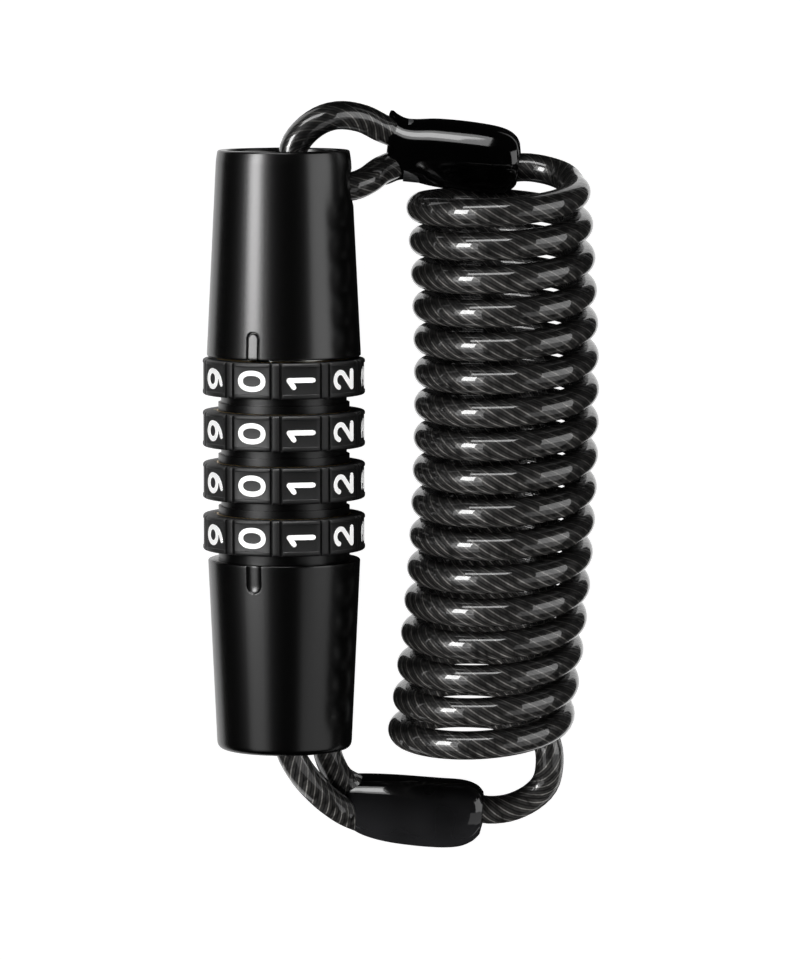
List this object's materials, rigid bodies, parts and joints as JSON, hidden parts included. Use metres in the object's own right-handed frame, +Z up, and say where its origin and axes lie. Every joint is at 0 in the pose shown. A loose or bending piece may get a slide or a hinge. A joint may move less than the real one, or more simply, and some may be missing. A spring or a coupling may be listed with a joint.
{
  "type": "combination cable lock",
  "caption": "Barrel combination lock with number dials and a coiled steel cable, its eyes crimped under glossy sleeves; the plug half slides out to open.",
  "frame": {"origin": "on the table under the middle of the lock body", "axes": "+Y along the barrel towards the plug half, +X towards the coiled cable, +Z up, the lock lying on a table"},
  "size_m": [0.0487, 0.0934, 0.0228],
  "materials": {
    "housing": "satin black enamel on cast zinc",
    "number_ring": "fine matte black with white figures",
    "brass": "plain",
    "spacer": "matte",
    "steel": "turned",
    "ferrule": "crimped",
    "crimp_cover": "high gloss",
    "cable": "clear smoke-black cover over twisted steel strands"
  },
  "bodies": {
    "barrel": {"base_housing": "housing", "barrel_sleeve": "steel", "sleeve_pin": "steel", "base_anchor_pin": "steel", "spacer_ring_1": "spacer", "spacer_ring_2": "spacer", "spacer_ring_3": "spacer", "base_washer": "spacer", "top_washer": "steel", "retaining_clip": "steel", "click_spring": "steel", "base_ferrule": "ferrule", "base_crimp_cover": "crimp_cover", "base_cable_end": "cable", "cable_coil": "cable"},
    "plug": {"plug_housing": "housing", "plug_shaft": "steel", "plug_pin": "steel", "plug_ferrule": "ferrule", "plug_crimp_cover": "crimp_cover", "plug_cable_end": "cable"},
    "dial_1": {"number_ring_1": "number_ring", "code_ring_1": "brass"},
    "dial_2": {"number_ring_2": "number_ring", "code_ring_2": "brass"},
    "dial_3": {"number_ring_3": "number_ring", "code_ring_3": "brass"},
    "dial_4": {"number_ring_4": "number_ring", "code_ring_4": "brass"}
  },
  "joints": [
    {"name": "plug_slide", "type": "slide", "parent": "barrel", "child": "plug", "axis": [0, 1, 0], "range_m": [0, 0.045], "deforming": ["cable_coil"]},
    {"name": "dial_1_turn", "type": "hinge", "parent": "barrel", "child": "dial_1", "pos_m": [0, 0.0092, 0.01], "axis": [0, 1, 0], "continuous": true, "deforming": ["click_spring"]},
    {"name": "dial_2_turn", "type": "hinge", "parent": "barrel", "child": "dial_2", "pos_m": [0, 0.0028, 0.01], "axis": [0, 1, 0], "continuous": true, "deforming": ["click_spring"]},
    {"name": "dial_3_turn", "type": "hinge", "parent": "barrel", "child": "dial_3", "pos_m": [0, -0.0036, 0.01], "axis": [0, 1, 0], "continuous": true, "deforming": ["click_spring"]},
    {"name": "dial_4_turn", "type": "hinge", "parent": "barrel", "child": "dial_4", "pos_m": [0, -0.01, 0.01], "axis": [0, 1, 0], "continuous": true, "deforming": ["click_spring"]}
  ]
}
